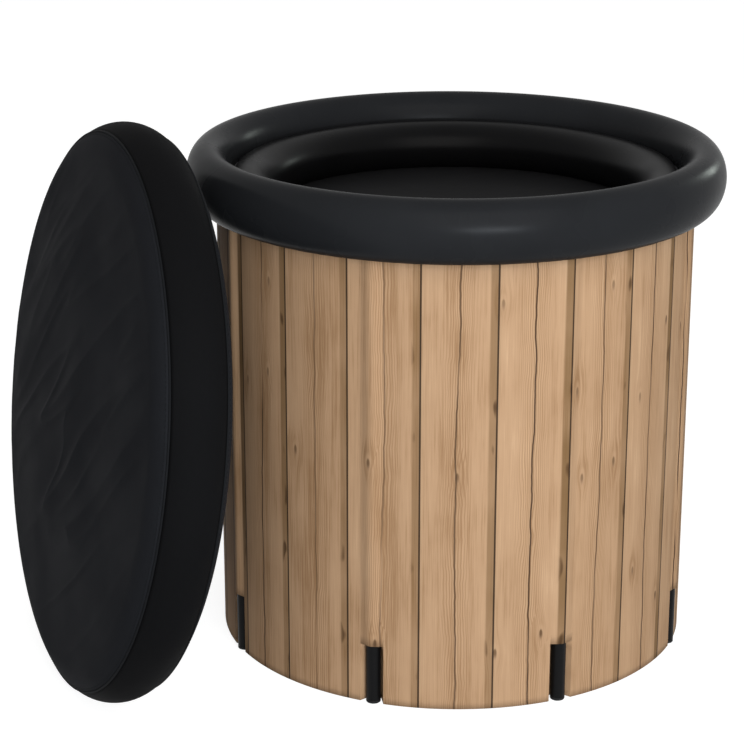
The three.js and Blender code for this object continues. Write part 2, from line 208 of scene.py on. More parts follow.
class PlungeTubColours(bpy.types.PropertyGroup):
    """Colours of the finishes."""

    wood_light: colour("Wood light", "Palest grain of the print", 208, 172, 137)
    wood_middle: colour("Wood middle", "Middle tone of the print", 188, 152, 118)
    wood_dark: colour("Wood dark", "Darkest grain of the print", 154, 118, 84)
    wood_edge: colour("Wood edge", "Stained edge beside a plank joint", 120, 91, 58)
    wood_knot: colour("Wood knot", "Heart of a printed knot", 78, 54, 34)
    wood_split: colour("Wood split", "Split along a plank's heart", 66, 48, 36)
    wood_joint: colour("Wood joint", "Joint between printed planks", 38, 29, 24)
    inflated: colour("Inflated sheet", "Sheet of the top ring", 36, 37, 39)
    inner_lid: colour("Inner lid", "Sheet of the inner lid's tube", 17, 17, 18)
    deck: colour("Deck", "Sheet of the inner lid's deck", 27, 27, 28)
    liner: colour("Liner", "Sheet of the liner", 34, 35, 38)
    foam: colour("Foam", "Closed-cell foam", 142, 145, 148)
    base: colour("Base", "Sheet under the floor", 28, 28, 30)
    pole: colour("Pole", "Plastic of the poles", 13, 13, 14)
    rubber: colour("Rubber", "Pole ends, gasket and washer", 20, 20, 21)
    moulding: colour("Moulding", "Plastic of the valves and the drain", 26, 26, 28)
    canvas: colour("Canvas", "Cloth of the padded lid's face and back", 35, 36, 39)
    band: colour("Band", "Cloth of the padded lid's side", 20, 20, 21)
    thread: colour("Thread", "Piping and stitching of the padded lid", 28, 29, 31)


class PlungeTubStage(bpy.types.PropertyGroup):
    """Camera, floor and light."""

    camera_spot: FloatVectorProperty(
        name="Camera spot", description="Where the camera stands", default=(-0.12191, -3.25083, 1.45374),
        subtype="TRANSLATION", unit="LENGTH",
    )
    camera_tilt: angle("Camera tilt", "Turn of the camera up from looking straight down", 71.842)
    camera_lens: FloatProperty(name="Lens", description="Focal length in mm", default=109.94, min=1)
    floor_size: length("Floor size", "Side of the square floor", 40)
    floor_drop: length("Floor drop", "Gap under the tub, so that faces don't coincide", 0.0005)
    ambient: FloatProperty(name="Ambient", description="Light from all around", default=0.3, min=0)
    key_power: power("Key", "Softbox at the front right", 77)
    front_power: power("Front", "Low softbox at the front", 68)
    back_power: power("Back", "Softbox behind at the right", 8)


def sizes():
    return bpy.context.scene.plunge_tub_sizes


def colours():
    return bpy.context.scene.plunge_tub_colours


# Mesh building

def around(turn, radius, height):
    """A point at a turn from the front, a distance from the axis and a height."""
    return Vector((radius * math.sin(turn), -radius * math.cos(turn), height))


def grid_faces(columns, rows, close_columns=False, close_rows=False):
    """Faces of a grid of points that is stored column by column."""
    faces = []
    for column in range(columns if close_columns else columns - 1):
        after = (column + 1) % columns
        for row in range(rows if close_rows else rows - 1):
            above = (row + 1) % rows
            faces.append((
                column * rows + row, after * rows + row, after * rows + above, column * rows + above
            ))
    return faces


def new_piece(name, points, faces, material, sharp=None, corner_map=None, map_name=None):
    """A smooth-shaded mesh object. sharp is the angle above which an edge stays hard."""
    mesh = bpy.data.meshes.new(name)
    mesh.from_pydata(points, [], faces)
    mesh.materials.append(material)
    if corner_map:
        layer = mesh.uv_layers.new(name=map_name)
        layer.data.foreach_set("uv", [value for pair in corner_map for value in pair])
    else:
        weld(mesh)
    mesh.polygons.foreach_set("use_smooth", [True] * len(mesh.polygons))
    if sharp is not None:
        mesh.set_sharp_from_angle(angle=sharp)
    piece = bpy.data.objects.new(name, mesh)
    bpy.context.scene.collection.objects.link(piece)
    return piece


def weld(mesh, distance=1e-7):
    """Joins coinciding points, such as those of a turned profile on its axis."""
    edit = bmesh.new()
    edit.from_mesh(mesh)
    bmesh.ops.remove_doubles(edit, verts=edit.verts, dist=distance)
    bmesh.ops.dissolve_degenerate(edit, edges=edit.edges, dist=distance)
    edit.to_mesh(mesh)
    edit.free()


def settle(piece, body, slot, *nodes):
    """Puts a piece on its CAD body and hides the CAD nodes that it stands for. slot is not used."""
    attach(piece, body)
    if nodes:
        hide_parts(*nodes)
    return piece


def turned(profile, segments, close=True, place=None, swell=None):
    """Points and faces of a profile of (radius, height) pairs, run up the outside and turned about Z.

    swell gives the radius to add at a turn and a radius. place moves the result.
    """
    points = []
    for column in range(segments):
        turn = FULL_TURN * column / segments
        for radius, height in profile:
            more = swell(turn, radius) if swell else 0
            points.append(around(turn, radius + more, height))
    if place:
        points = [place @ point for point in points]
    return points, grid_faces(segments, len(profile), True, close)


def rounded(profile, radius, steps=4):
    """A closed profile with its corners rounded, as far as its sides leave room."""
    out = []
    for index, corner in enumerate(profile):
        here = Vector(corner)
        before = Vector(profile[index - 1]) - here
        after = Vector(profile[(index + 1) % len(profile)]) - here
        on_axis = corner[0] == 0
        room = min(radius, before.length * 0.45, after.length * 0.45)
        if on_axis or before.normalized().dot(after.normalized()) < -0.999:
            out.append(tuple(here))
            continue
        start = here + before.normalized() * room
        end = here + after.normalized() * room
        for step in range(steps + 1):
            share = step / steps
            bend = start.lerp(here, share).lerp(here.lerp(end, share), share)
            out.append(tuple(bend))
    return out


def arc(centre, height, radius, start, end, steps):
    """(radius, height) pairs on an arc of a profile, between two angles from the outward direction."""
    return [
        (centre + radius * math.cos(start + (end - start) * step / steps),
         height + radius * math.sin(start + (end - start) * step / steps))
        for step in range(steps + 1)
    ]


def thicken(piece, thickness):
    """Gives a sheet its thickness, behind its outer face."""
    solid = piece.modifiers.new("thickness", "SOLIDIFY")
    solid.thickness = thickness
    solid.offset = -1
    solid.use_even_offset = True


def even_steps(low, high, count):
    return [low + (high - low) * step / count for step in range(count + 1)]


def smooth(low, high, value):
    """Zero below low, one above high and an even curve between."""
    share = min(1.0, max(0.0, (value - low) / (high - low)))
    return share * share * (3 - 2 * share)


# Materials

def toned(shade, share):
    """A colour at a share of its brightness. A share above one makes it paler."""
    return [value * share for value in shade]


class Finish:
    """A procedural material: a Principled shader and short calls for the nodes that feed it."""

    def __init__(self, name, **sockets):
        self.material = bpy.data.materials.new(name)
        self.material.use_nodes = True
        self.tree = self.material.node_tree
        self.shader = self.tree.nodes["Principled BSDF"]
        self.set(**sockets)

    def feed(self, socket, value):
        if isinstance(value, bpy.types.NodeSocket):
            self.tree.links.new(value, socket)
        elif hasattr(value, "__len__") and len(value) == 3 and len(socket.default_value) == 4:
            socket.default_value = (*value, 1.0)
        else:
            socket.default_value = value

    def node(self, kind, inputs=None, **settings):
        made = self.tree.nodes.new("ShaderNode" + kind)
        for name, value in settings.items():
            setattr(made, name, value)
        for name, value in (inputs or {}).items():
            self.feed(made.inputs[name], value)
        return made

    def math(self, operation, *values):
        made = self.node("Math", operation=operation)
        for socket, value in zip(made.inputs, values):
            self.feed(socket, value)
        return made.outputs[0]

    def add(self, *values):
        total = values[0]
        for value in values[1:]:
            total = self.math("ADD", total, value)
        return total

    def times(self, *values):
        product = values[0]
        for value in values[1:]:
            product = self.math("MULTIPLY", product, value)
        return product

    def fade(self, value, start, end, low=0.0, high=1.0):
        """low before start, high past end and an even curve between. start may be the larger."""
        return self.node(
            "MapRange",
            {"Value": value, "From Min": start, "From Max": end, "To Min": low, "To Max": high},
            interpolation_type="SMOOTHSTEP",
        ).outputs[0]

    def mix(self, share, first, second):
        made = self.node("Mix", data_type="RGBA")
        for index, value in ((0, share), (6, first), (7, second)):
            self.feed(made.inputs[index], value)
        return made.outputs[2]

    def vector(self, x, y, z):
        return self.node("CombineXYZ", {"X": x, "Y": y, "Z": z}).outputs[0]

    def parts(self, vector):
        made = self.node("SeparateXYZ", {"Vector": vector})
        return made.outputs

    def noise(self, vector, scale=1.0, detail=2.0, roughness=0.5, distortion=0.0):
        return self.node("TexNoise", {
            "Vector": vector, "Scale": scale, "Detail": detail, "Roughness": roughness,
            "Distortion": distortion,
        }).outputs[0]

    def spot(self):
        """The point in metres, in the row frame."""
        return self.node("TexCoord").outputs["Object"]

    def mapped(self, name):
        return self.node("UVMap", uv_map=name).outputs[0]

    def relief(self, height, depth, under=None):
        """A bump of a height of 0 to 1 and a depth in metres, over another bump."""
        inputs = {"Height": height, "Distance": depth, "Strength": 1.0}
        if under:
            inputs["Normal"] = under
        return self.node("Bump", inputs).outputs[0]

    def dulled(self, shine):
        """A shine that fades where the surface is seen edge on."""
        edge_on = self.node("LayerWeight", {"Blend": 0.5}).outputs["Facing"]
        return self.fade(edge_on, 0.4, 0.95, shine, shine * 0.2)

    def set(self, **sockets):
        for socket, value in sockets.items():
            self.feed(self.shader.inputs[socket.replace("_", " ")], value)
        return self.material


def printed_wood():
    """Planks printed on coated cloth: grain, growth lines, splits, knots, stained edges and dark joints."""
    size, tint = sizes(), colours()
    wood = Finish("printed_wood")
    along, up, _ = wood.parts(wood.mapped(PRINT_MAP))
    width = plank_width()
    growth_line_pitch = 0.0034
    first_joint = wall_radius() * size.plank_start / width
    plank = wood.math("SUBTRACT", wood.math("DIVIDE", along, width), first_joint)
    number = wood.math("FLOOR", plank)
    within = wood.math("FRACT", plank)
    own = wood.node("TexWhiteNoise", {"W": number}, noise_dimensions="1D").outputs[0]

    # Knots, and the grain that swells round them
    knots_across, knots_up = 17.0, 7.0
    cells = wood.node("TexVoronoi", {
        "Vector": wood.vector(wood.times(along, knots_across), wood.times(up, knots_up), 0.0),
        "Scale": 1.0, "Randomness": 1.0,
    }, voronoi_dimensions="2D")
    near = cells.outputs["Distance"]
    luck = wood.node("SeparateColor", {"Color": cells.outputs["Color"]}).outputs
    kept = wood.math("GREATER_THAN", luck[0], 0.7)
    halo = wood.times(kept, wood.fade(near, 0.34, 0.03))
    knot_x, knot_up, _ = wood.parts(cells.outputs["Position"])
    aside = wood.math("SUBTRACT", along, wood.math("DIVIDE", knot_x, knots_across))
    bent = wood.math("SUBTRACT", along, wood.times(aside, halo, 0.85))

    def plank_noise(across, across_rate, up_rate, plank_rate, *settings):
        """Noise at its own rates across and up the wall, and different on each plank."""
        return wood.noise(wood.vector(
            wood.times(across, across_rate), wood.times(up, up_rate), wood.times(number, plank_rate)
        ), 1.0, *settings)

    # Grain
    fine = plank_noise(bent, 520.0, 9.0, 3.1, 4.0, 0.66)
    streaks = plank_noise(bent, 60.0, 2.2, 5.7, 3.0, 0.55, 0.4)
    clouds = plank_noise(along, 17.0, 8.0, 0.0, 3.0)

    # Growth lines that close in on the heart of each plank, and a split along it
    drift = plank_noise(0.0, 0.0, 1.7, 9.1, 1.0)
    shiver = plank_noise(0.0, 0.0, 15.0, 2.3, 3.0)
    heart = wood.add(0.5, wood.times(wood.math("SUBTRACT", drift, 0.5), 0.17),
                     wood.times(wood.math("SUBTRACT", shiver, 0.5), 0.07))
    off_heart = wood.times(wood.math("ABSOLUTE", wood.math("SUBTRACT", within, heart)), width)
    flame = plank_noise(bent, 26.0, 5.5, 7.7, 2.0, 0.4)
    flow = wood.add(off_heart, wood.times(halo, 0.005), wood.times(flame, 0.020))
    lines = wood.math("SINE", wood.times(flow, FULL_TURN / growth_line_pitch))
    lines = wood.times(wood.fade(lines, -0.2, 1.0), wood.fade(off_heart, 0.030, 0.006), 0.72)
    luck_of_split = plank_noise(0.0, 0.0, 3.4, 4.4, 1.0)
    split = wood.times(
        wood.fade(off_heart, 0.0017, 0.0006), wood.fade(luck_of_split, 0.30, 0.42),
        wood.fade(own, 0.05, 0.25, 0.5, 0.95),
    )

    # Stained edge with its dark blots, and the joint
    right = wood.times(wood.math("SUBTRACT", 1.0, within), width)
    left = wood.times(within, width)
    patchy = plank_noise(0.0, 0.0, 5.0, 6.6, 3.0)
    stain = wood.times(wood.fade(right, 0.0125, 0.0095), wood.fade(patchy, 0.30, 0.62, 0.45, 0.9),
                       wood.fade(own, 0.0, 0.6, 0.65, 1.0))
    blots = plank_noise(along, 60.0, 16.0, 0.0, 1.0)
    blot = wood.times(wood.fade(right, 0.014, 0.006), wood.fade(blots, 0.62, 0.72), 0.85)
    joint = wood.times(wood.fade(wood.math("MINIMUM", left, right), 0.0017, 0.0009), 0.9)

    # A knot is a small dark crescent inside a paler eye
    below = wood.math("SUBTRACT", wood.times(up, knots_up), knot_up)
    heart_of_knot = wood.fade(wood.add(near, wood.times(below, 0.5)), 0.055, 0.015)
    knot = wood.times(kept, heart_of_knot, wood.fade(luck[1], 0.0, 1.0, 0.45, 0.85))
    eye = wood.times(kept, wood.fade(near, 0.11, 0.05), 0.25)

    tone = wood.add(wood.times(fine, 0.50), wood.times(streaks, 0.34), wood.times(clouds, 0.36),
                    wood.times(own, 0.08), wood.times(halo, -0.06), -0.16)
    grain = wood.mix(wood.fade(tone, 0.26, 0.50), tint.wood_dark, tint.wood_middle)
    grain = wood.mix(wood.fade(tone, 0.48, 0.74), grain, tint.wood_light)
    for share, shade in ((lines, tint.wood_dark), (stain, tint.wood_edge), (blot, tint.wood_knot),
                         (eye, tint.wood_light), (knot, tint.wood_knot), (split, tint.wood_split),
                         (joint, tint.wood_joint)):
        grain = wood.mix(share, grain, shade)
    weave = wood.noise(wood.spot(), 900.0, 2.0)
    return wood.set(
        Base_Color=grain,
        Roughness=wood.fade(weave, 0.2, 0.8, 0.50, 0.62),
        Specular_IOR_Level=wood.dulled(0.05),
        Normal=wood.relief(weave, 0.00006),
    )


def coated_sheet(name, shade, roughness, shine, ripple):
    """Welded coated sheet with a fine pebble and soft ripples, duller where it is seen edge on."""
    sheet = Finish(name)
    spot = sheet.spot()
    pebble = sheet.noise(spot, 1400.0, 2.0)
    cloud = sheet.noise(spot, 9.0, 3.0)
    ripples = sheet.noise(spot, 22.0, 2.0, 0.45)
    return sheet.set(
        Base_Color=sheet.mix(sheet.fade(cloud, 0.25, 0.75), toned(shade, 0.86), shade),
        Roughness=sheet.fade(cloud, 0.25, 0.75, roughness - 0.04, roughness + 0.05),
        Specular_IOR_Level=sheet.dulled(shine),
        Normal=sheet.relief(pebble, 0.00004, sheet.relief(ripples, ripple)),
    )


def closed_cell_foam():
    """Grey foam with small cells."""
    foam = Finish("closed_cell_foam", Specular_IOR_Level=0.2, Roughness=0.92)
    spot = foam.spot()
    cells = foam.node("TexVoronoi", {"Vector": spot, "Scale": 700.0}).outputs["Distance"]
    cloud = foam.noise(spot, 40.0, 2.0)
    shade = colours().foam
    return foam.set(
        Base_Color=foam.mix(foam.fade(cloud, 0.3, 0.7), toned(shade, 0.8), shade),
        Normal=foam.relief(cells, 0.0003),
    )


def moulded_plastic(name, shade, roughness):
    """Spark-eroded moulding with faint flow marks."""
    plastic = Finish(name, Specular_IOR_Level=0.09)
    spot = plastic.spot()
    spark = plastic.noise(spot, 2200.0, 2.0)
    drawn_out = plastic.node("Mapping", {"Vector": spot, "Scale": (1.0, 1.0, 0.06)}).outputs[0]
    flow = plastic.noise(drawn_out, 160.0)
    return plastic.set(
        Base_Color=plastic.mix(flow, toned(shade, 0.8), shade),
        Roughness=plastic.fade(flow, 0.2, 0.8, roughness - 0.05, roughness + 0.06),
        Normal=plastic.relief(spark, 0.00003),
    )


def soft_rubber():
    """Matt rubber with a dusty bloom."""
    rubber = Finish("soft_rubber", Specular_IOR_Level=0.25)
    spot = rubber.spot()
    bloom = rubber.noise(spot, 120.0, 4.0)
    shade = colours().rubber
    return rubber.set(
        Base_Color=rubber.mix(rubber.fade(bloom, 0.45, 0.8), shade, toned(shade, 1.7)),
        Roughness=rubber.fade(bloom, 0.2, 0.8, 0.62, 0.78),
        Normal=rubber.relief(rubber.noise(spot, 1800.0), 0.00004),
    )


def woven_canvas(name, shade):
    """Plain-weave cloth with uneven yarn."""
    canvas = Finish(name, Specular_IOR_Level=0.015)
    x, y, _ = canvas.parts(canvas.mapped(CLOTH_MAP))
    yarn_pitch = 0.0016
    warp = canvas.math("SINE", canvas.times(x, FULL_TURN / yarn_pitch))
    weft = canvas.math("SINE", canvas.times(y, FULL_TURN / yarn_pitch))
    weave = canvas.fade(canvas.times(warp, weft), -1.0, 1.0)
    slub = canvas.noise(canvas.vector(canvas.times(x, 90.0), canvas.times(y, 900.0), 0.0), 1.0, 3.0)
    cloud = canvas.noise(canvas.vector(x, y, 0.0), 7.0, 3.0)
    tone = canvas.add(canvas.times(slub, 0.5), canvas.times(cloud, 0.5))
    return canvas.set(
        Base_Color=canvas.mix(canvas.fade(tone, 0.3, 0.7), toned(shade, 0.78), shade),
        Roughness=canvas.fade(cloud, 0.3, 0.7, 0.66, 0.78),
        Normal=canvas.relief(weave, 0.00012, canvas.relief(slub, 0.00010)),
    )


def twisted_thread():
    """Sewing thread and piping cord."""
    thread = Finish("twisted_thread", Specular_IOR_Level=0.03, Roughness=0.7)
    twist = thread.noise(thread.spot(), 900.0, 2.0)
    shade = colours().thread
    return thread.set(
        Base_Color=thread.mix(twist, toned(shade, 0.7), shade),
        Normal=thread.relief(twist, 0.0001),
    )


# The wall

def wall_radius():
    """The printed skin's outside, one layer gap and one cloth outside the foam."""
    size = sizes()
    return reach("insulation_wall") + size.layer_gap + size.skin_thickness


def plank_width():
    """The printed width of one plank."""
    return FULL_TURN * wall_radius() / sizes().planks


def pole_circle():
    return middle(f"pole_{POLE_NUMBERS[0]}").xy.length


def notch_back():
    """How far from the axis the back of a notch lies."""
    size = sizes()
    return pole_circle() - size.pole_diameter / 2 - size.notch_behind_pole


def in_bay(turn, aside, out):
    """A point in plan beside a pole: aside along the wall and out from the axis."""
    return Vector((
        out * math.sin(turn) + aside * math.cos(turn), aside * math.sin(turn) - out * math.cos(turn)
    ))


def recess(half, floor, mouth, back, round_off, steps=3):
    """(aside, out) pairs of a notch's walls with rounded corners. half and floor are half widths."""
    path = [Vector((-half, mouth)), Vector((-floor, back)), Vector((floor, back)), Vector((half, mouth))]
    points = [tuple(path[0])]
    for before, corner, after in zip(path, path[1:], path[2:]):
        start = corner + (before - corner).normalized() * round_off
        end = corner + (after - corner).normalized() * round_off
        points += [
            tuple(start.lerp(corner, step / steps).lerp(corner.lerp(end, step / steps), step / steps))
            for step in range(steps + 1)
        ]
    points.append(tuple(path[3]))
    return points


class SkinOutline:
    """Columns of the printed skin, from one side of the print's joint round to the other.

    A column is (key, point in plan, place along the print). Above the notches the columns follow the
    ridges over the poles, and below they follow the notches. Columns outside the notches have one key.
    """

    plain_step = math.radians(1.5)
    ridge_columns = 26
    corner_rounding = 0.003

    def __init__(self):
        size = sizes()
        self.radius = wall_radius()
        self.half = size.pole_diameter / 2 + size.ridge_shoulder
        self.rise = (pole_circle() + size.pole_diameter / 2 + size.layer_gap
                     - (self.radius - size.skin_thickness))
        self.notch_half = size.notch_width / 2
        self.upper, self.lower = [], []
        begin = size.print_joint - FULL_TURN
        turns = sorted((pole_turn(number) - begin) % FULL_TURN + begin for number in POLE_NUMBERS)
        reached = begin
        for turn in turns:
            edge = math.asin(self.half / self.radius)
            self.plain(reached, turn - edge)
            self.bay(turn)
            reached = turn + edge
        self.plain(reached, size.print_joint)
        self.close()

    def both(self, key, plan, along):
        self.upper.append((key, plan, along))
        self.lower.append((key, plan, along))

    def plain(self, start, end):
        count = max(2, round((end - start) / self.plain_step))
        for step in range(count):
            turn = start + (end - start) * step / count
            self.both(("wall", round(turn, 6)), around(turn, self.radius, 0).xy, turn * self.radius)

    def ridge(self, aside):
        swell = math.cos(math.pi * aside / (2 * self.half)) ** 2
        return self.radius + self.rise * swell

    def bay(self, turn):
        asides = [self.half * (2 * step / self.ridge_columns - 1) for step in range(self.ridge_columns)]
        asides = sorted({*(round(aside, 6) for aside in asides), -self.notch_half, self.notch_half})
        for aside in asides:
            out = self.ridge(aside)
            off = math.asin(aside / out)
            column = (("ridge", round(turn, 6), aside), around(turn + off, out, 0).xy,
                      turn * self.radius + aside)
            if abs(aside) < self.notch_half:
                self.upper.append(column)
            else:
                self.both(*column)
                if aside == -self.notch_half:
                    self.notch(turn)

    def notch(self, turn):
        mouth = math.sqrt(self.ridge(self.notch_half) ** 2 - self.notch_half ** 2)
        floor = sizes().notch_floor / 2
        path = recess(self.notch_half, floor, mouth, notch_back(), self.corner_rounding)[1:-1]
        for aside, out in path:
            depth = math.copysign(mouth - out, -aside)
            self.lower.append((("notch", round(turn, 6), round(aside, 6), round(out, 6)),
                               in_bay(turn, aside, out), turn * self.radius + aside - depth * 0.5))

    def close(self):
        """Ends each round on its first column's points, a whole print further along."""
        for columns in (self.upper, self.lower):
            key, plan, along = columns[0]
            columns.append((key, plan, along + FULL_TURN * self.radius))


def cloth_give(plan, height, amount=0.0005):
    """A point of the wall moved in or out a little, as stretched cloth gives."""
    give = noise.noise(Vector((plan.x * 7, plan.y * 7, height * 3))) * amount
    return plan * (1 + give / plan.length)


def skin_mesh(parts):
    """Points, faces and print places of (columns, heights) grids that share points with like keys."""
    points, index, faces, corner_map = [], {}, [], []

    def point(column, height):
        key = (column[0], round(height, 6))
        if key not in index:
            index[key] = len(points)
            points.append((*cloth_give(column[1], height), height))
        return index[key]

    for columns, heights in parts:
        for left, right in zip(columns, columns[1:]):
            for low, high in zip(heights, heights[1:]):
                loop = ((left, low), (right, low), (right, high), (left, high))
                faces.append([point(column, height) for column, height in loop])
                corner_map += [(column[2], height) for column, height in loop]
    return points, faces, corner_map


class PLUNGETUB_OT_printed_skin(bpy.types.Operator):
    """Printed wall cloth with its ridges over the poles, the notches at their feet and its overlap"""

    bl_idname = "plunge_tub.printed_skin"
    bl_label = "Printed skin"
    notch_rows = 8
    wall_rows = 40
    overlap_columns = 6

    def execute(self, context):
        size = sizes()
        low, high = levels("outer_skin")
        outline = SkinOutline()
        wood = printed_wood()
        parts = [
            (outline.lower, even_steps(low, size.notch_height, self.notch_rows)),
            (outline.upper, even_steps(size.notch_height, high, self.wall_rows)),
        ]
        points, faces, corner_map = skin_mesh(parts)
        skin = new_piece("printed_skin_cloth", points, faces, wood, CLOTH_CREASE, corner_map, PRINT_MAP)
        thicken(skin, size.skin_thickness)
        settle(skin, "tub", "printed_skin", "outer_skin")

        # The overlap where the ends of the printed cloth are welded
        half = size.print_overlap / 2 / outline.radius
        strip = []
        for turn in even_steps(size.print_joint - half, size.print_joint + half, self.overlap_columns):
            plan = around(turn, outline.radius + size.skin_thickness, 0).xy
            strip.append((("overlap", turn), plan, turn * outline.radius))
        points, faces, corner_map = skin_mesh([(strip, even_steps(low, high, self.wall_rows))])
        overlap = new_piece(
            "printed_skin_overlap", points, faces, wood, CLOTH_CREASE, corner_map, PRINT_MAP
        )
        thicken(overlap, size.skin_thickness)
        settle(overlap, "tub", "printed_skin")
        return {"FINISHED"}


def layer_notch(radius):
    """The notch in a layer behind the printed skin, as (aside, out) pairs."""
    size = sizes()
    cloth = size.skin_thickness + size.layer_gap
    half = size.notch_width / 2 + cloth
    mouth = math.sqrt(radius ** 2 - half ** 2)
    return recess(half, half, mouth, notch_back() - cloth, SkinOutline.corner_rounding)


def bay_outline(radius, bay, columns=20):
    """A round outline with the same bay of (aside, out) pairs at every pole."""
    plan = []
    edge = math.asin(bay[-1][0] / radius)
    turns = sorted(pole_turn(number) % FULL_TURN for number in POLE_NUMBERS)
    for turn, after in zip(turns, [*turns[1:], turns[0] + FULL_TURN]):
        plan += [in_bay(turn, aside, out) for aside, out in bay]
        for between in even_steps(turn + edge, after - edge, columns)[1:-1]:
            plan.append(around(between, radius, 0).xy)
    return plan


def wall_block(outline, inner, low, high):
    """Points and faces of an upright wall between an outline and a round hole."""
    points = []
    for plan in outline:
        inside = plan.normalized() * inner
        points += [(*plan, low), (*plan, high), (*inside, high), (*inside, low)]
    return points, grid_faces(len(outline), 4, True, True)


class PLUNGETUB_OT_insulation(bpy.types.Operator):
    """Foam wall with its channels for the poles, and the foam pad under the liner"""

    bl_idname = "plunge_tub.insulation"
    bl_label = "Insulation"
    split_gap = 0.0004
    pad_rounding = 0.003
    pad_segments = 128
    channel_steps = 16

    def execute(self, context):
        size = sizes()
        foam = closed_cell_foam()
        outer, inner = reach("insulation_wall"), bore("insulation_wall")
        low, high = levels("insulation_wall")
        sleeve = size.pole_diameter / 2 + size.layer_gap
        notch = layer_notch(outer)
        mouth = math.sqrt(outer ** 2 - sleeve ** 2)
        hollow = arc(0, pole_circle(), sleeve, math.pi, FULL_TURN, self.channel_steps)
        channel = [(-sleeve, mouth), *hollow, (sleeve, mouth)]
        split = size.notch_height - self.split_gap
        points, faces = wall_block(bay_outline(outer, notch), inner, low, split)
        upper, more = wall_block(bay_outline(outer, channel), inner, size.notch_height, high)
        faces += [tuple(index + len(points) for index in face) for face in more]
        wall = new_piece("foam_wall", points + upper, faces, foam, CUT_CREASE)
        settle(wall, "tub", "foam", "insulation_wall")

        low, high = levels("floor_pad")
        rim = reach("floor_pad")
        profile = rounded([(0, low), (rim, low), (rim, high), (0, high)], self.pad_rounding)
        pad = new_piece("foam_floor", *turned(profile, self.pad_segments, False), foam, CUT_CREASE)
        settle(pad, "tub", "foam", "floor_pad")
        return {"FINISHED"}


class PLUNGETUB_OT_liner(bpy.types.Operator):
    """Watertight liner with its welded floor seam, and the panel under the floor"""

    bl_idname = "plunge_tub.liner"
    bl_label = "Liner and base"
    segments = 160
    curve_steps = 6
    weld_height = 0.035
    weld_width = 0.008
    weld_rise = 0.0006
    floor_rounding = 0.004

    def execute(self, context):
        size, tint = sizes(), colours()
        low, high = levels("tub_liner")
        outer = reach("tub_liner")
        sheet = size.liner_thickness
        inner = outer - sheet
        weld_low = low + self.weld_height
        weld_high = weld_low + self.weld_width
        curve = self.floor_rounding
        outside = arc(outer - curve, low + curve, curve, -math.pi / 2, 0, self.curve_steps)
        inside = arc(inner - curve, low + sheet + curve, curve, 0, -math.pi / 2, self.curve_steps)
        profile = [
            (0, low), *outside, (outer, high), (inner, high),
            (inner, weld_high + sheet), (inner - self.weld_rise, weld_high),
            (inner - self.weld_rise, weld_low), (inner, weld_low - sheet),
            *inside, (0, low + sheet),
        ]
        black = coated_sheet("liner_sheet", tint.liner, roughness=0.42, shine=0.3, ripple=0.0006)
        liner = new_piece("liner_bag", *turned(profile, self.segments, False), black, LINER_CREASE)
        settle(liner, "tub", "liner_black", "tub_liner")

        rim = reach("base_panel")
        notch = layer_notch(rim)
        low, high = levels("base_panel")
        points, faces = wall_block(bay_outline(rim, notch), 0, low, high)
        black = coated_sheet("base_sheet", tint.base, roughness=0.6, shine=0.25, ripple=0.0004)
        panel = new_piece("base_sheet", points, faces, black, CUT_CREASE)
        settle(panel, "tub", "base_black", "base_panel")
        return {"FINISHED"}


# The inflated pieces

def puckers(turn, share, count, depth):
    """Small gathers beside a weld: share is one at the weld and falls to zero away from it."""
    wander = noise.noise(Vector((math.sin(turn) * 5, math.cos(turn) * 5, 0.3)))
    return depth * share * math.sin(count * turn + 6 * wander)


def tube_piece(name, section, segments, material, weld_at, pucker):
    """A closed tube round the axis, gathered along a weld at one point of its section."""
    weld_point = Vector(weld_at)
    count, depth, width = pucker
    points = []
    for column in range(segments):
        turn = FULL_TURN * column / segments
        for radius, height in section:
            near = math.exp(-(((Vector((radius, height)) - weld_point).length / width) ** 2))
            points.append(around(turn, radius, height + puckers(turn, near, count, depth)))
    return new_piece(name, points, grid_faces(segments, len(section), True, True), material)


class PLUNGETUB_OT_top_ring(bpy.types.Operator):
    """Inflated ring round the mouth, gathered along the weld at its underside"""

    bl_idname = "plunge_tub.top_ring"
    bl_label = "Top ring"
    section_points = 72
    segments = 288
    gathers = 72
    gather_depth = 0.0001
    gather_width = 0.016

    def section(self):
        outer, inner = reach("top_ring"), bore("top_ring")
        low, high = levels("top_ring")
        centre, level = (outer + inner) / 2, (low + high) / 2
        wide, tall = (outer - inner) / 2, (high - low) / 2
        return [
            (centre + wide * math.cos(FULL_TURN * step / self.section_points),
             level + tall * math.sin(FULL_TURN * step / self.section_points))
            for step in range(self.section_points)
        ]

    def execute(self, context):
        shade = colours().inflated
        black = coated_sheet("inflated_sheet", shade, roughness=0.27, shine=0.033, ripple=0.0002)
        section = self.section()
        lowest = min(section, key=lambda point: point[1])
        gather = (self.gathers, self.gather_depth, self.gather_width)
        ring = tube_piece("ring_tube", section, self.segments, black, lowest, gather)
        settle(ring, "tub", "inflated_black", "top_ring")
        return {"FINISHED"}


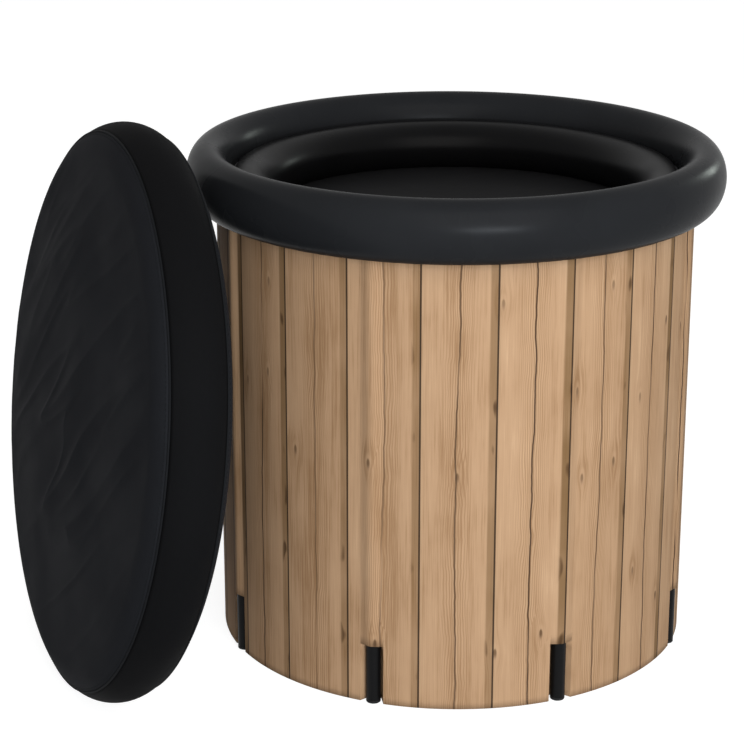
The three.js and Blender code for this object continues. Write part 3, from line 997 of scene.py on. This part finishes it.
class PLUNGETUB_OT_inner_lid(bpy.types.Operator):
    """Inflated inner lid: a tube pressed flat against the liner, and the deck welded into it"""

    bl_idname = "plunge_tub.inner_lid"
    bl_label = "Inner lid"
    section_steps = 56
    side_steps = 8
    corner_softness = 0.012
    tube_segments = 256
    tube_gathers = 64
    tube_gather_depth = 0.0006
    tube_gather_width = 0.014
    deck_tuck = 0.003
    deck_segments = 192
    deck_rows = 27
    deck_gathers = 48
    deck_gather_depth = 0.0008

    def section(self):
        """A circle cut off by the liner, with the edges of the flat side rounded."""
        outer, inner = reach("inner_lid_ring"), bore("inner_lid_ring")
        low, high = levels("inner_lid_ring")
        radius = (high - low) / 2
        centre, level = inner + radius, (low + high) / 2
        edge = math.acos((outer - centre) / radius)
        loop = arc(centre, level, radius, edge, FULL_TURN - edge, self.section_steps)
        top, bottom = Vector(loop[0]), Vector(loop[-1])
        rise = (top - bottom).length
        bend = self.corner_softness / rise
        side = [bottom.lerp(top, share) for share in even_steps(bend, 1 - bend, self.side_steps)]
        return [*loop[1:-1], *(tuple(point) for point in side)]

    def execute(self, context):
        size, tint = sizes(), colours()
        section = self.section()
        black = coated_sheet("inner_lid_sheet", tint.inner_lid, roughness=0.3, shine=0.05, ripple=0.0002)
        deck_low, deck_high = levels("inner_lid_deck")
        rim = reach("inner_lid_deck") + self.deck_tuck
        gather = (self.tube_gathers, self.tube_gather_depth, self.tube_gather_width)
        tube = tube_piece("inner_lid_tube", section, self.tube_segments, black, (rim, deck_high), gather)
        settle(tube, "inner_lid", "inflated_black", "inner_lid_ring")

        matt = coated_sheet("deck_sheet", tint.deck, roughness=0.55, shine=0.06, ripple=0.0006)
        points = []
        for column in range(self.deck_segments):
            turn = FULL_TURN * column / self.deck_segments
            for share in even_steps(0, 1, self.deck_rows):
                near_weld = smooth(0.8, 1.0, share) * (1 - smooth(0.97, 1.0, share))
                gather = puckers(turn, near_weld, self.deck_gathers, self.deck_gather_depth)
                sag = size.deck_sag * (1 - share ** 2)
                points.append(around(turn, rim * share, deck_high - sag + gather - size.layer_gap))
            points += [around(turn, rim, deck_low), around(turn, 0, deck_low)]
        faces = [face[::-1] for face in grid_faces(self.deck_segments, self.deck_rows + 3, True)]
        deck = new_piece("inner_lid_floor", points, faces, matt, CUT_CREASE)
        settle(deck, "inner_lid", "deck_black", "inner_lid_deck")
        return {"FINISHED"}


# Poles and fittings

class PLUNGETUB_OT_poles(bpy.types.Operator):
    """Eight tubes in the wall's sleeves, with a rounded plug in each end"""

    bl_idname = "plunge_tub.poles"
    bl_label = "Poles"
    segments = 48
    tube_rounding = 0.0004
    groove = 0.0004
    end_steps = 6

    def execute(self, context):
        size, tint = sizes(), colours()
        radius = size.pole_diameter / 2
        inside = radius - size.pole_wall
        plastic = moulded_plastic("pole_plastic", tint.pole, roughness=0.45)
        rubber = soft_rubber()
        for number in POLE_NUMBERS:
            spot = middle(f"pole_{number}")
            stand = Matrix.Translation((spot.x, spot.y, 0))
            low, high = levels(f"pole_{number}")
            tube = [(inside, low), (radius, low), (radius, high), (inside, high)]
            tube = rounded(tube, self.tube_rounding)
            self.make(f"pole_tube_{number}", tube, stand, plastic, "pole_black", f"pole_{number}")
            low, high = levels(f"pole_foot_{number}")
            foot = self.plug(low, high, 1)
            self.make(f"pole_end_{number}", foot, stand, rubber, "rubber_black", f"pole_foot_{number}")
            low, high = levels(f"pole_top_{number}")
            crown = self.plug(high, low, -1)
            self.make(f"pole_crown_{number}", crown, stand, rubber, "rubber_black", f"pole_top_{number}")
        return {"FINISHED"}

    def plug(self, end, tip, way):
        """The profile of a plug from its outer end to the tip inside the tube. way is 1 from below."""
        size = sizes()
        radius = size.pole_diameter / 2
        inside = radius - size.pole_wall - size.layer_gap
        collar = end + way * size.pole_end
        groove = self.groove
        round_off = size.pole_end_rounding
        centre, level = radius - round_off, end + way * round_off
        curve = arc(centre, level, round_off, -way * math.pi / 2, 0, self.end_steps)
        profile = [
            (0, end), *curve, (radius, collar - way * 2 * groove), (radius - groove, collar - way * groove),
            (radius - groove, collar), (inside, collar), (inside, tip - way * groove),
            (inside - groove, tip), (0, tip),
        ]
        return profile if way > 0 else profile[::-1]

    def make(self, name, profile, stand, material, slot, node):
        closed = profile[0][0] > 0
        points, faces = turned(profile, self.segments, closed, stand)
        settle(new_piece(name, points, faces, material, CUT_CREASE), "tub", slot, node)


def screw_cap(name, node, place, material, neck, body):
    """A lobed cap with a dished top and a threaded hollow, over a neck of a given radius."""
    low, high, _, outer = extent(node, place)
    lobes = sizes().cap_lobes
    top, dish, edge, lobe = 0.0025, 0.0006, 0.0007, 0.0008
    rim, dish_rim = outer * 0.72, outer * 0.66
    lobe_steps = 12
    hollow = neck + sizes().layer_gap
    profile = rounded([
        (0, high - dish), (0, high - top), (hollow, high - top), (hollow, low), (outer, low),
        (outer, high), (rim, high), (dish_rim, high - dish),
    ][::-1], edge, 3)

    def grip(turn, radius):
        if radius < outer - edge:
            return 0
        return -lobe * (0.5 - 0.5 * math.cos(lobes * turn))

    start = next(index for index, point in enumerate(profile) if point[0] == 0)
    profile = profile[start + 1:] + profile[:start + 1]
    points, faces = turned(profile, lobes * lobe_steps, False, place, grip)
    return settle(new_piece(name, points, faces, material, MOULDED_CREASE), body, "fitting_black", node)


def threaded(radius, low, high, pitch, depth):
    """(radius, height) pairs up a threaded outside."""
    turns = max(1, int((high - low) / pitch))
    pairs = []
    for step in range(turns):
        base = low + step * pitch
        pairs += [
            (radius - depth, base), (radius - depth, base + 0.3 * pitch),
            (radius, base + 0.5 * pitch), (radius, base + 0.7 * pitch),
        ]
    return [*pairs, (radius - depth, high)]


class PLUNGETUB_OT_valves(bpy.types.Operator):
    """The inflation valves of the top ring and the inner lid"""

    bl_idname = "plunge_tub.valves"
    bl_label = "Valves"
    segments = 96
    neck_wall = 0.003
    flange_thickness = 0.0015
    flange_foot = 0.0004
    flange_drop = 0.0005
    flange_edge = 0.0006
    thread_pitch = 0.0026
    thread_depth = 0.0005

    def execute(self, context):
        plastic = moulded_plastic("valve_plastic", colours().moulding, roughness=0.42)
        for prefix, body in (("ring_valve", "tub"), ("inner_lid_valve", "inner_lid")):
            place = joint_place(f"{prefix}_cap_turn")
            low, high, inner, outer = extent(f"{prefix}_base", place)
            neck = inner + self.neck_wall
            gap = sizes().layer_gap
            flange = gap + self.flange_thickness
            foot, edge = self.flange_foot, self.flange_edge
            profile = [
                (inner, low), (neck, low), (neck, gap), (outer - foot, gap), (outer, gap + foot),
                (outer, flange - self.flange_drop), (outer - edge, flange), (neck + edge, flange),
                *threaded(neck, flange + edge, high, self.thread_pitch, self.thread_depth), (inner, high),
            ]
            points, faces = turned(profile, self.segments, True, place)
            base = new_piece(f"{prefix}_neck", points, faces, plastic, MOULDED_CREASE)
            settle(base, body, "fitting_black", f"{prefix}_base")
            screw_cap(f"{prefix}_lid", f"{prefix}_cap", place, plastic, neck, f"{prefix}_cap")
        return {"FINISHED"}


class PLUNGETUB_OT_drain(bpy.types.Operator):
    """The drain: spigot, gasket, washer, nut and cap"""

    bl_idname = "plunge_tub.drain"
    bl_label = "Drain"
    segments = 96
    spigot_wall = 0.003
    flange_thickness = 0.004
    flange_chamfer = 0.001
    seal_rounding = 0.0008
    thread_pitch = 0.0032
    thread_depth = 0.0007
    nut_sides = 6
    nut_chamfer = 0.0016

    def execute(self, context):
        plastic = moulded_plastic("drain_plastic", colours().moulding, roughness=0.42)
        rubber = soft_rubber()
        place = joint_place("drain_cap_turn")
        low, high, inner, outer = extent("drain_spigot", place)
        stem = inner + self.spigot_wall
        flange = low + self.flange_thickness
        nut_low, nut_high, _, nut_outer = extent("drain_nut", place)
        chamfer = self.flange_chamfer
        thread = threaded(stem, nut_low, high, self.thread_pitch, self.thread_depth)
        profile = [
            (inner, low), (outer - chamfer, low), (outer, low + chamfer), (outer, flange), (stem, flange),
            (stem, nut_low), *thread, (inner, high),
        ]
        points, faces = turned(profile, self.segments, True, place)
        spigot = new_piece("drain_pipe", points, faces, plastic, MOULDED_CREASE)
        settle(spigot, "tub", "fitting_black", "drain_spigot")
        for name, node in (("drain_seal", "drain_gasket"), ("drain_outer_seal", "drain_washer")):
            ring_low, ring_high, ring_inner, ring_outer = extent(node, place)
            profile = rounded([
                (ring_inner, ring_low), (ring_outer, ring_low),
                (ring_outer, ring_high), (ring_inner, ring_high),
            ], self.seal_rounding)
            points, faces = turned(profile, self.segments, True, place)
            seal = new_piece(name, points, faces, rubber, CLOTH_CREASE)
            settle(seal, "tub", "rubber_black", node)
        self.nut(place, stem + sizes().layer_gap, nut_outer, nut_low, nut_high, plastic)
        screw_cap("drain_lid", "drain_cap", place, plastic, stem, "drain_cap")
        return {"FINISHED"}

    def nut(self, place, hole, corner, low, high, plastic):
        """A six-sided nut whose corners are turned off at both ends."""
        flat = corner * math.cos(math.pi / self.nut_sides)
        chamfer = self.nut_chamfer
        profile = [
            (hole, low), (flat, low), (corner, low + chamfer),
            (corner, high - chamfer), (flat, high), (hole, high),
        ]

        def six_sides(turn, radius):
            side = FULL_TURN / self.nut_sides
            off = (turn + side / 2) % side - side / 2
            limit = flat / math.cos(side / 2 - abs(off))
            return min(radius, limit) - radius

        points, faces = turned(profile, self.segments, True, place, six_sides)
        nut = new_piece("drain_hex", points, faces, plastic, NUT_CREASE)
        settle(nut, "tub", "fitting_black", "drain_nut")


# The padded lid

class LidShape:
    """The padded lid's outline in its own frame, inset from its outside, and the folds of its cloth."""

    segments = 320
    fold_way = math.radians(130)
    fold_rim = 0.1
    fold_bend = 0.03
    wide_folds = (1.3, 9)
    fine_folds = (2.8, 22)
    fold_sharpness = 3

    def __init__(self, inset=0.0):
        size = sizes()
        outer_edge = size.lid_thickness / 2
        self.place = lid_place()
        self.edge = outer_edge - inset
        self.flat = extent("lid_band", self.place)[3] - outer_edge
        self.front = extent("lid_face", self.place)[1] - outer_edge
        self.back = -extent("lid_back", self.place)[0] - outer_edge
        self.seam = size.lid_seam
        self.seam_gap = size.piping_diameter / 2 / outer_edge

    def side(self, crown, end, rows, rim_rows):
        """(radius, height) pairs from the middle of a face over its crown and part of its round edge."""
        flat_part = [(self.flat * share, self.edge + crown * (1 - share ** 2))
                     for share in even_steps(0, 1, rows)][:-1]
        return flat_part + arc(self.flat, 0, self.edge, math.pi / 2, end, rim_rows)

    def folds(self, x, y, height, seed):
        """Soft folds that run slantwise over a face and die out at its rim."""
        along = x * math.cos(self.fold_way) + y * math.sin(self.fold_way)
        across = y * math.cos(self.fold_way) - x * math.sin(self.fold_way)
        across += self.fold_bend * noise.noise(Vector((along * 3, across * 3, seed)))

        def crest(rates, own_seed):
            wave = noise.noise(Vector((along * rates[0], across * rates[1], own_seed)))
            return max(0.0, 1 - self.fold_sharpness * abs(wave)) ** 2

        ridges = crest(self.wide_folds, seed + 3) + 0.5 * crest(self.fine_folds, seed + 7)
        shown = 0.5 + 0.5 * smooth(-0.3, 0.3, noise.noise(Vector((x * 5, y * 5, seed + 19))))
        fade = 1 - smooth(self.flat - self.fold_rim, self.flat + self.edge * 0.6, math.hypot(x, y))
        return height * ridges * shown * fade

    def cloth(self, name, profile, material, way=1, wrinkle=0.0, seed=0.0):
        """A cloth of the lid from a profile of (radius, height) pairs. way is -1 for the back."""
        points, corner_map, columns = [], [], self.segments
        for column in range(columns):
            turn = FULL_TURN * column / columns
            for radius, height in profile:
                x, y = radius * math.cos(turn), radius * math.sin(turn)
                lift = self.folds(x, y, wrinkle, seed)
                points.append(self.place @ Vector((x, y, way * (height + lift))))
        faces = grid_faces(columns, len(profile), True)
        if way > 0:
            faces = [tuple(reversed(face)) for face in faces]
        measured = [0.0]
        for before, after in zip(profile, profile[1:]):
            measured.append(measured[-1] + math.dist(before, after))
        rows = len(profile)
        for face in faces:
            for corner in face:
                turn = FULL_TURN * (corner // rows) / columns
                reach_out = profile[0][0] + measured[corner % rows]
                corner_map.append((reach_out * math.cos(turn), reach_out * math.sin(turn)))
        return new_piece(name, points, faces, material, None, corner_map, CLOTH_MAP)


class PLUNGETUB_OT_padded_lid(bpy.types.Operator):
    """The padded lid: wrinkled face and back, smooth band, piping, stitching and foam core"""

    bl_idname = "plunge_tub.padded_lid"
    bl_label = "Padded lid"
    face_rows = 80
    rim_rows = 10
    band_rows = 16
    core_rows = 12
    core_segments = 160
    piping_sides = 12
    stitch_inset = 0.006
    stitch_radius = 0.0006
    stitch_share = 0.8
    stitch_steps = 6
    stitch_sides = 6
    back_wrinkle = 0.6
    front_seed = 1.7
    back_seed = 23.1

    def execute(self, context):
        size, tint = sizes(), colours()
        lid = LidShape()
        canvas = woven_canvas("lid_canvas", tint.canvas)
        cord = twisted_thread()
        stop = lid.seam + lid.seam_gap
        front = lid.side(lid.front, stop, self.face_rows, self.rim_rows)
        back = lid.side(lid.back, stop, self.face_rows, self.rim_rows)
        reach_up = lid.seam - lid.seam_gap
        band = arc(lid.flat, 0, lid.edge, reach_up, -reach_up, self.band_rows)
        soft_back = size.lid_wrinkle * self.back_wrinkle
        side_canvas = woven_canvas("lid_side_canvas", tint.band)
        pieces = (
            (lid.cloth("lid_front_cloth", front, canvas, 1, size.lid_wrinkle, self.front_seed), "lid_face"),
            (lid.cloth("lid_back_cloth", back, canvas, -1, soft_back, self.back_seed), "lid_back"),
            (lid.cloth("lid_side_cloth", band, side_canvas), "lid_band"),
        )
        for cloth, node in pieces:
            thicken(cloth, size.lid_cloth)
            settle(cloth, "lid", "lid_cloth", node)
        for name, node, side in (("lid_front_piping", "lid_piping_front", 1),
                                 ("lid_back_piping", "lid_piping_back", -1)):
            self.piping(lid, name, node, side, cord)
            self.stitches(lid, name.replace("piping", "stitching"), side, cord)
        self.core()
        return {"FINISHED"}

    def piping(self, lid, name, node, side, cord):
        radius = sizes().piping_diameter / 2
        centre = lid.flat + lid.edge * math.cos(lid.seam)
        level = side * lid.edge * math.sin(lid.seam)
        section = arc(centre, level, radius, 0, FULL_TURN, self.piping_sides)[:-1]
        points, faces = turned(section, lid.segments, True, lid.place)
        settle(new_piece(name, points, faces, cord), "lid", "lid_cloth", node)

    def stitches(self, lid, name, side, cord):
        """A row of stitches on the face's side of a seam."""
        turn_in = lid.seam + self.stitch_inset / lid.edge
        ring = lid.flat + lid.edge * math.cos(turn_in)
        level = lid.edge * math.sin(turn_in)
        count = round(FULL_TURN * ring / sizes().stitch_length)
        outward = Vector((math.cos(turn_in), math.sin(turn_in)))
        points, faces = [], []
        sides, steps = self.stitch_sides, self.stitch_steps
        margin = (1 - self.stitch_share) / 2
        for number in range(count):
            first = len(points)
            for share in even_steps(0, 1, steps):
                turn = FULL_TURN * (number + margin + self.stitch_share * share) / count
                arch = math.sin(math.pi * share)
                sink = self.stitch_radius * (1.2 - 1.5 * arch)
                thick = self.stitch_radius * (0.35 + 0.65 * arch)
                for corner in range(sides):
                    spin = FULL_TURN * corner / sides
                    out, aside = thick * math.cos(spin) - sink, thick * math.sin(spin)
                    radius = ring + outward.x * out - outward.y * aside
                    height = level + outward.y * out + outward.x * aside
                    spot = (radius * math.cos(turn), radius * math.sin(turn), side * height)
                    points.append(lid.place @ Vector(spot))
            tube = grid_faces(steps + 1, sides, False, True)
            ends = [tuple(range(sides)), tuple(steps * sides + index for index in reversed(range(sides)))]
            faces += [tuple(first + index for index in face) for face in (*tube, *ends)]
        settle(new_piece(name, points, faces, cord), "lid", "lid_cloth")

    def core(self):
        inner = LidShape(sizes().lid_cloth + sizes().layer_gap)
        front = inner.side(inner.front, 0, self.core_rows, self.core_rows)
        back = inner.side(inner.back, 0, self.core_rows, self.core_rows)
        profile = [*((radius, -height) for radius, height in back), *front[-2::-1]]
        points, faces = turned(profile, self.core_segments, False, inner.place)
        core = new_piece("lid_foam", points, faces, closed_cell_foam(), CUT_CREASE)
        settle(core, "lid", "foam", "lid_core")


# The stage

def aimed_light(name, aim, power, tint, turn, climb, distance, size):
    """An area lamp at a turn from the front and a climb above the floor, aimed at a point."""
    lamp = bpy.data.lights.new(name, "AREA")
    lamp.shape = "RECTANGLE"
    lamp.size, lamp.size_y = size
    lamp.energy = power
    lamp.color = tint
    light = bpy.data.objects.new(name, lamp)
    way = around(math.radians(turn), math.cos(math.radians(climb)), math.sin(math.radians(climb)))
    light.location = aim + way * distance
    light.rotation_euler = way.to_track_quat("Z", "Y").to_euler()
    bpy.context.scene.collection.objects.link(light)


def seen_directly(tree):
    """One for camera, glossy and transmission rays, and zero for the rays that light other things."""
    path = tree.nodes.new("ShaderNodeLightPath")
    total = path.outputs["Is Camera Ray"]
    for kind in ("Is Glossy Ray", "Is Transmission Ray"):
        either = tree.nodes.new("ShaderNodeMath")
        either.operation = "MAXIMUM"
        tree.links.new(total, either.inputs[0])
        tree.links.new(path.outputs[kind], either.inputs[1])
        total = either.outputs[0]
    return total


class PLUNGETUB_OT_stage(bpy.types.Operator):
    """White floor, soft studio light and the camera"""

    bl_idname = "plunge_tub.stage"
    bl_label = "Stage"
    glow = 0.88
    floor_shade = 0.4
    bounce_shade = 0.4

    def execute(self, context):
        stage = context.scene.plunge_tub_stage
        context.scene.view_settings.view_transform = "Standard"
        self.floor(stage)
        self.surroundings(stage)
        aim = Vector((0, 0, sum(corner.z for corner in cad_box) / 2))
        aimed_light("key", aim, stage.key_power, (1.0, 0.97, 0.94),
                    turn=11, climb=33, distance=4.0, size=(3.4, 3.4))
        aimed_light("front", aim, stage.front_power, (0.86, 0.93, 1.0),
                    turn=12, climb=8, distance=3.6, size=(1.3, 0.3))
        aimed_light("back", aim, stage.back_power, (0.9, 1.0, 0.93),
                    turn=133, climb=16, distance=3.0, size=(0.35, 0.45))
        camera = bpy.data.cameras.new("camera")
        camera.lens = stage.camera_lens
        view = bpy.data.objects.new("camera", camera)
        view.location = stage.camera_spot
        view.rotation_euler = (stage.camera_tilt, 0, 0)
        context.scene.collection.objects.link(view)
        context.scene.camera = view
        return {"FINISHED"}

    def floor(self, stage):
        half = stage.floor_size / 2
        corners = [(-half, -half), (half, -half), (half, half), (-half, half)]
        points = [(x, y, -stage.floor_drop) for x, y in corners]
        material = bpy.data.materials.new("white_floor")
        material.use_nodes = True
        tree = material.node_tree
        tree.nodes.remove(tree.nodes["Principled BSDF"])
        glow = tree.nodes.new("ShaderNodeEmission")
        glow.inputs["Strength"].default_value = self.glow
        pale = tree.nodes.new("ShaderNodeBsdfDiffuse")
        pale.inputs["Color"].default_value = (self.floor_shade,) * 3 + (1,)
        bounce = tree.nodes.new("ShaderNodeBsdfDiffuse")
        bounce.inputs["Color"].default_value = (self.bounce_shade,) * 3 + (1,)
        white = tree.nodes.new("ShaderNodeAddShader")
        choice = tree.nodes.new("ShaderNodeMixShader")
        tree.links.new(glow.outputs[0], white.inputs[0])
        tree.links.new(pale.outputs[0], white.inputs[1])
        tree.links.new(seen_directly(tree), choice.inputs[0])
        tree.links.new(bounce.outputs[0], choice.inputs[1])
        tree.links.new(white.outputs[0], choice.inputs[2])
        tree.links.new(choice.outputs[0], tree.nodes["Material Output"].inputs[0])
        new_piece("floor", points, [(0, 1, 2, 3)], material)

    @staticmethod
    def surroundings(stage):
        world = bpy.data.worlds.new("white_room")
        world.use_nodes = True
        tree = world.node_tree
        background = tree.nodes["Background"]
        background.inputs["Color"].default_value = (1, 1, 1, 1)
        strength = tree.nodes.new("ShaderNodeMix")
        strength.inputs[2].default_value = stage.ambient
        strength.inputs[3].default_value = 1.0
        tree.links.new(seen_directly(tree), strength.inputs[0])
        tree.links.new(strength.outputs[0], background.inputs["Strength"])
        bpy.context.scene.world = world


OPERATORS = (
    PLUNGETUB_OT_stage,
    PLUNGETUB_OT_printed_skin,
    PLUNGETUB_OT_insulation,
    PLUNGETUB_OT_liner,
    PLUNGETUB_OT_top_ring,
    PLUNGETUB_OT_inner_lid,
    PLUNGETUB_OT_poles,
    PLUNGETUB_OT_valves,
    PLUNGETUB_OT_drain,
    PLUNGETUB_OT_padded_lid,
)


class VIEW3D_PT_plunge_tub(bpy.types.Panel):
    """Lists the tub's pieces and what can be changed about them"""

    bl_label = "Plunge Tub"
    bl_idname = "VIEW3D_PT_plunge_tub"
    bl_space_type = "VIEW_3D"
    bl_region_type = "UI"
    bl_category = "Plunge Tub"

    def draw(self, context):
        for operator in OPERATORS:
            self.layout.operator(operator.bl_idname)
        for group in (context.scene.plunge_tub_sizes, context.scene.plunge_tub_colours,
                      context.scene.plunge_tub_stage):
            box = self.layout.box()
            for name in group.__annotations__:
                box.prop(group, name)


CLASSES = (PlungeTubSizes, PlungeTubColours, PlungeTubStage, *OPERATORS, VIEW3D_PT_plunge_tub)


def register():
    for each in CLASSES:
        bpy.utils.register_class(each)
    bpy.types.Scene.plunge_tub_sizes = PointerProperty(type=PlungeTubSizes)
    bpy.types.Scene.plunge_tub_colours = PointerProperty(type=PlungeTubColours)
    bpy.types.Scene.plunge_tub_stage = PointerProperty(type=PlungeTubStage)


def unregister():
    del bpy.types.Scene.plunge_tub_stage
    del bpy.types.Scene.plunge_tub_colours
    del bpy.types.Scene.plunge_tub_sizes
    for each in reversed(CLASSES):
        bpy.utils.unregister_class(each)


def main():
    register()
    for operator in OPERATORS:
        group, call = operator.bl_idname.split(".")
        getattr(getattr(bpy.ops, group), call)()


if __name__ == "__main__":
    main()
